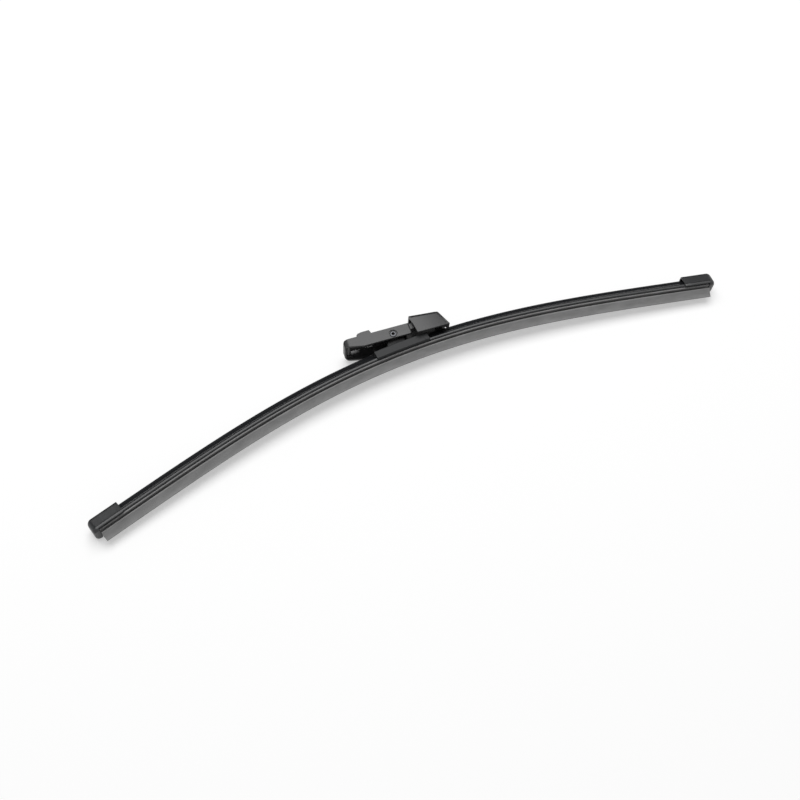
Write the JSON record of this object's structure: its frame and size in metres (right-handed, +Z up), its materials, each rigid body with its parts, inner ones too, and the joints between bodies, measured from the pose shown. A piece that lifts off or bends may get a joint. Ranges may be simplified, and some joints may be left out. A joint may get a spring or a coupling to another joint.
{
  "type": "flat wiper blade",
  "caption": "Flat wiper blade lying on its side: rubber lip on spring rails, soft spoiler, end caps, and a pivoting slide-on adapter with a ramped release button and a hood.",
  "frame": {"origin": "bottom centre of the blade's box, on the table that it lies on", "axes": "+X along the blade, +Y from the wiping lip towards the spoiler and adapter, +Z up from the table"},
  "size_m": [0.3954, 0.0608, 0.0207],
  "materials": {
    "wiper_rubber": "graphite-coated black rubber, dull",
    "rail_steel": "blackened spring steel",
    "spoiler_rubber": "soft black extrusion, satin",
    "cap_plastic": "black moulded plastic, fine grain",
    "bracket_plastic": "dark grey moulded plastic",
    "pin_steel": "plain steel rivet",
    "adapter_plastic": "dark grey glass-filled plastic, fine grain"
  },
  "bodies": {
    "blade": {"wiper_rubber": "wiper_rubber", "upper_spring_rail": "rail_steel", "lower_spring_rail": "rail_steel", "left_spoiler": "spoiler_rubber", "right_spoiler": "spoiler_rubber", "left_end_cap": "cap_plastic", "right_end_cap": "cap_plastic", "base_bracket": "bracket_plastic", "pivot_pin": "pin_steel"},
    "adapter": {"adapter_body": "adapter_plastic", "hood_cover": "adapter_plastic"},
    "button": {"release_button": "adapter_plastic"}
  },
  "joints": [
    {"name": "adapter_pivot", "type": "hinge", "parent": "blade", "child": "adapter", "pos_m": [0, 0.01954, 0.01046], "axis": [0, -0.1029, 0.9947], "range_deg": [-2.5, 15.5]},
    {"name": "button_press", "type": "hinge", "parent": "adapter", "child": "button", "pos_m": [-0.02615, 0.02501, 0.01103], "axis": [0, -0.1029, 0.9947], "range_deg": [-17, 0], "stiffness_Nm_per_rad": 0.3, "springref_deg": 2.86}
  ]
}
